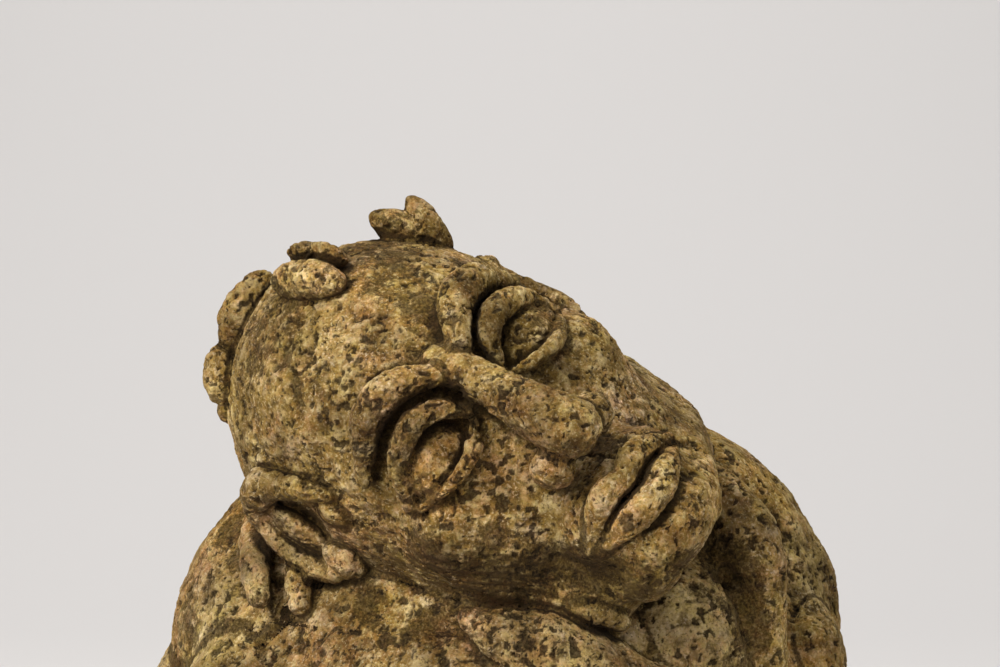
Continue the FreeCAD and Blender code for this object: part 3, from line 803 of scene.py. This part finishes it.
    # grime in ragged patches, plus painted shade: the patches spread into the hollows, the creases between parts and
    # the DARK spots
    ragged = mth("ADD", noise(20.0, 8, 0.70), mth("MULTIPLY", mth("SUBTRACT", small_n, 0.5), 0.35))
    g1 = rng(ragged, 0.55, 0.63)
    g2 = rng(mth("ADD", ragged, mth("MULTIPLY", dark, 0.21)), 0.585, 0.66)
    g3 = rng(mth("ADD", ragged, mth("MULTIPLY", occ, 0.42)), 0.64, 0.76)
    g4 = rng(mth("ADD", ragged, mth("MULTIPLY", crease, 0.30)), 0.60, 0.72)
    grime_and_painted_shade = mth("MAXIMUM", mth("MAXIMUM", mth("MULTIPLY", g1, 0.64), mth("MULTIPLY", g2, 0.85)), mth("MULTIPLY", g3, 0.92))
    grime_and_painted_shade = mth("MAXIMUM", grime_and_painted_shade, mth("MULTIPLY", g4, 0.85))
    c = mix(grime_and_painted_shade, c, mix(rng(grain, 0.40, 0.66), (0.033, 0.019, 0.0045), (0.113, 0.069, 0.018)))
    # pin holes and small pits
    crowd = rng(noise(45.0, 3, 0.6), 0.40, 0.62)
    s1 = mth("MULTIPLY", rng(noise(420.0, 3, 0.62, 0.6), 0.595, 0.66), crowd)
    s2 = mth("MULTIPLY", rng(noise(900.0, 2, 0.55), 0.60, 0.68), rng(noise(70.0, 3, 0.6), 0.42, 0.60))
    holes = mth("MAXIMUM", s1, mth("MULTIPLY", s2, 0.75))
    c = mix(mth("MULTIPLY", holes, 0.88), c, (0.030, 0.019, 0.008))
    c = mix(mth("MULTIPLY", rng(pit, 0.12, 0.75), 0.88), c, mix(rng(grain, 0.42, 0.62), (0.022, 0.014, 0.006), (0.075, 0.050, 0.020)))
    # painted shade: darker in the broad hollows
    c = mix(rng(occ, 0.40, 0.85, 0.0, 0.78), c, (0.026, 0.016, 0.006))
    # painted shade: faces turned downward darker, in ragged patches
    under = rng(nz, -0.15, -0.70)
    c = mix(mth("MULTIPLY", under, rng(ragged, 0.36, 0.56, 0.35, 0.85)), c, (0.060, 0.036, 0.013))
    # the body's own colour wanders: redder, yellower and greyer by patches and by grains
    hue = node(nt, "ShaderNodeTexNoise", (-1500, 700))
    L(pos, hue.inputs["Vector"])
    for k, v in (("Scale", 14.0), ("Detail", 6.0), ("Roughness", 1.0)):
        hue.inputs[k].default_value = v
    hs = node(nt, "ShaderNodeSeparateColor", (-1300, 700))
    L(hue.outputs["Color"], hs.inputs[0])
    tone = node(nt, "ShaderNodeCombineColor", (-900, 700))
    for i, (swing, level, least) in enumerate(((1.20, 0.945, 0.920), (0.0, 0.903, 0.5), (1.60, 0.812, 0.5))):
        L(mth("MAXIMUM", mth("ADD", mth("MULTIPLY", mth("SUBTRACT", hs.outputs[i], 0.5), swing), level), least), tone.inputs[i])
    c = mix(1.0, c, tone.outputs[0], "MULTIPLY")
    patch = noise(40.0, 2, 0.5)
    c = mix(rng(patch, 0.52, 0.30, 0.0, 0.90), c, (0.48, 0.45, 0.40), "MULTIPLY")
    c = mix(rng(patch, 0.48, 0.70, 0.0, 1.00), c, (1.48, 1.52, 1.64), "MULTIPLY")
    L(c, bsdf.inputs["Base Color"])
    bsdf.inputs["Specular IOR Level"].default_value = 0.18
    bsdf.inputs["Roughness"].default_value = 0.95
    # grain under the fingers
    h = mth("ADD", mth("MULTIPLY", grain, 0.55), mth("MULTIPLY", small_n, 1.1))
    h = mth("SUBTRACT", h, mth("MULTIPLY", holes, 0.55))
    h = mth("ADD", h, mth("MULTIPLY", noise(1900.0, 2, 0.6), 0.22))
    bump = node(nt, "ShaderNodeBump", (-300, -400))
    bump.inputs["Strength"].default_value = 1.0
    bump.inputs["Distance"].default_value = 0.0014
    L(h, bump.inputs["Height"])
    L(bump.outputs["Normal"], bsdf.inputs["Normal"])
    return m


STONE = build_stone()

# -------------------------------------------------------------- make pieces
BANDS = {"base_slab": (-5, 16, 2.2), "lower_wall": (16, 90, 2.0), "belly_wall": (90, 165, 1.8),
         "upper_wall": (165, 225, 1.3), "shoulder_dome": (225, 400, 1.1)}
jobs = []
for bname, (z0, z1, h) in BANDS.items():
    rmax = max([r for r, z in OUTER if z0 - 3 <= z <= z1 + 3]) + 4
    lo = np.array([-rmax, -rmax, max(z0 - 3, -3)])
    hi = np.array([rmax, rmax, min(z1, 306) + 3])
    use = [i for i, p in enumerate(PIECES) if near(p["c"], p["r"], lo, hi, 12)]
    jobs.append((bname, None, use, (z0, z1), lo, hi, h))
for i, p in enumerate(PIECES):
    a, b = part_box(p["name"])
    lo, hi = np.array(a) * 1000 - 5, np.array(b) * 1000 + 5
    use = [j for j, o in enumerate(PIECES) if near(o["c"], o["r"], lo, hi, 12)]
    if i not in use:
        use = sorted(use + [i])
    jobs.append((p["name"], i, use, None, lo, hi, p["h"]))
# numpy works on several pieces at once; each piece's numbers depend on nothing but its own job
heavy_first = sorted(jobs, key=lambda j: -float(np.prod(j[5] - j[4])) / j[6] ** 2)
with ThreadPoolExecutor(4) as pool:
    made = dict((r[0], r) for r in pool.map(lambda j: shape_piece(*j), heavy_first))
total = sum(place_piece(*made[j[0]]) for j in jobs)
print("faces", total)

# -------------------------------------------------------------------- studio
def flat(name, col, rough=0.9):
    m = bpy.data.materials.new(name)
    m.use_nodes = True
    b = m.node_tree.nodes["Principled BSDF"]
    b.inputs["Base Color"].default_value = (*col, 1)
    b.inputs["Roughness"].default_value = rough
    b.inputs["Specular IOR Level"].default_value = 0.1
    return m


paper = flat("paper", (0.700, 0.684, 0.678))
pts = [(-7.0, 0.0)]
for i in range(25):
    t = math.radians(90 * i / 24)
    pts.append((1.3 + 2.1 * math.sin(t), 2.1 - 2.1 * math.cos(t)))
pts.append((3.4, 5.0))
verts = [(x, y, z) for x in (-7.0, 7.0) for y, z in pts]
n = len(pts)
bm = bpy.data.meshes.new("backdrop")
bm.from_pydata(verts, [], [(i, i + n, i + n + 1, i + 1) for i in range(n - 1)])
bm.polygons.foreach_set("use_smooth", [True] * (n - 1))
bm.update()
back = bpy.data.objects.new("backdrop", bm)
bpy.context.scene.collection.objects.link(back)
bm.materials.append(paper)


def area(name, at, aim, size, power, col=(1, 1, 1)):
    d = bpy.data.lights.new(name, "AREA")
    d.energy = power
    d.shape = "RECTANGLE"
    d.size, d.size_y = size
    d.color = col
    o = bpy.data.objects.new(name, d)
    o.location = at
    o.rotation_euler = (Vector(aim) - Vector(at)).to_track_quat("-Z", "Y").to_euler()
    bpy.context.scene.collection.objects.link(o)
    return o


area("key", (-1.3, -1.2, 1.35), (0, -0.05, 0.28), (1.1, 0.9), 25.5, (1.0, 0.965, 0.920))
area("front", (-0.7, -1.7, 1.1), (0, -0.05, 0.28), (1.1, 0.9), 13, (1.0, 0.965, 0.920))
area("top", (0.35, -0.1, 2.0), (0, 0, 0.3), (1.6, 1.2), 2.5, (1.0, 0.985, 0.965))
area("fill", (1.5, -1.3, 0.9), (0, 0, 0.25), (1.2, 1.2), 4, (1.0, 0.985, 0.96))
area("wall", (0.0, 0.4, 3.3), (0, 3.0, 0.4), (3.0, 1.0), 82, (1.0, 0.997, 0.994))

w = bpy.data.worlds.new("world")
bpy.context.scene.world = w
w.use_nodes = True
w.node_tree.nodes["Background"].inputs[0].default_value = (0.80, 0.778, 0.745, 1)
w.node_tree.nodes["Background"].inputs[1].default_value = 0.28

bpy.context.scene.view_settings.view_transform = "Standard"

cd = bpy.data.cameras.new("camera")
cd.lens, cd.sensor_width = 90, 36
cam = bpy.data.objects.new("camera", cd)
bpy.context.scene.collection.objects.link(cam)
tgt = Vector((0, -0.1, 0.354))
e = math.radians(2.0)
d = Vector((0, -math.cos(e), math.sin(e)))
cam.location = tgt + d * 1.125
cam.rotation_euler = (-d).to_track_quat("-Z", "Y").to_euler()
bpy.context.scene.camera = cam
